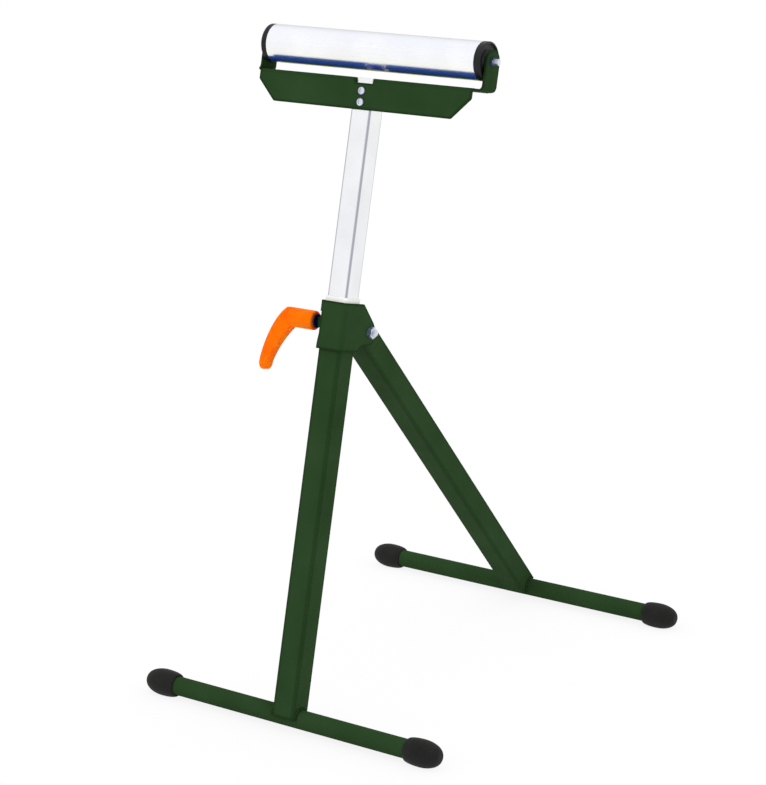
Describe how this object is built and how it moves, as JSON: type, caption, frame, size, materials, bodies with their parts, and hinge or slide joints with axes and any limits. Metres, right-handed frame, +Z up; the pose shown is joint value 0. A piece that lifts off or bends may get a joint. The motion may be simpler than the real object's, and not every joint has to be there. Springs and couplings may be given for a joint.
{
  "type": "folding roller stand",
  "caption": "Folding roller stand: a leaning square column with a hinged rear leg on rubber-footed bars, and a clamped sliding mast that carries a free-turning support roller.",
  "frame": {"origin": "on the floor, midway between the two foot bars and midway across the stand", "axes": "+X along the roller and the foot bars, away from the clamp lever; -Y to the front, where the plate of the head faces; +Z up"},
  "size_m": [0.488, 0.6, 0.8341],
  "materials": {
    "green_paint": "satin dark green powder coat",
    "bright_zinc": "bright zinc plate",
    "black_rubber": "matte moulded rubber",
    "black_plastic": "satin moulded plastic",
    "orange_plastic": "bright orange moulded plastic",
    "dark_steel": "blackened steel",
    "grey_nylon": "plain grey nylon",
    "white_nylon": "plain white nylon"
  },
  "bodies": {
    "front_frame": {"front_column": "green_paint", "mast_guide": "white_nylon", "front_foot_bar": "green_paint", "front_foot_cap_right": "black_rubber", "front_foot_cap_left": "black_rubber", "collar_bracket": "green_paint", "pivot_bolt": "bright_zinc", "pivot_nut": "bright_zinc", "clamp_weld_nut": "green_paint"},
    "rear_leg": {"rear_leg_tube": "green_paint", "rear_foot_bar": "green_paint", "rear_foot_cap_right": "black_rubber", "rear_foot_cap_left": "black_rubber"},
    "mast": {"mast_tube": "bright_zinc", "head_bracket": "green_paint", "head_screw_upper": "bright_zinc", "head_screw_lower": "bright_zinc", "head_nut_upper": "bright_zinc", "head_nut_lower": "bright_zinc", "roller_axle": "bright_zinc", "axle_clip_right": "dark_steel", "axle_clip_left": "dark_steel"},
    "roller": {"roller_tube": "bright_zinc", "roller_cap_right": "black_plastic", "roller_cap_left": "black_plastic", "roller_bush_right": "grey_nylon", "roller_bush_left": "grey_nylon"},
    "clamp_pad": {"clamp_pad": "grey_nylon"},
    "clamp_lever": {"clamp_lever": "orange_plastic", "clamp_stud": "dark_steel", "clamp_washer": "dark_steel"}
  },
  "joints": [
    {"name": "rear_leg_fold", "type": "hinge", "parent": "front_frame", "child": "rear_leg", "pos_m": [0, -0.13702, 0.47392], "axis": [-1, 0, 0], "range_deg": [0, 55]},
    {"name": "mast_slide", "type": "slide", "parent": "front_frame", "child": "mast", "axis": [0, 0.225, 0.9744], "range_m": [-0.225, 0.15]},
    {"name": "roller_spin", "type": "hinge", "parent": "mast", "child": "roller", "pos_m": [0, -0.09314, 0.81068], "axis": [1, 0, 0], "continuous": true},
    {"name": "clamp_pad_slide", "type": "slide", "parent": "front_frame", "child": "clamp_pad", "axis": [-1, 0, 0], "range_m": [0, 0.00038]},
    {"name": "clamp_lever_turn", "type": "hinge", "parent": "clamp_pad", "child": "clamp_lever", "pos_m": [0, -0.17361, 0.48884], "axis": [-1, 0, 0], "range_deg": [0, 90]}
  ],
  "couplings": [
    {"joint": "clamp_pad_slide", "follows": "clamp_lever_turn", "m_per_rad": 0.00023873}
  ]
}
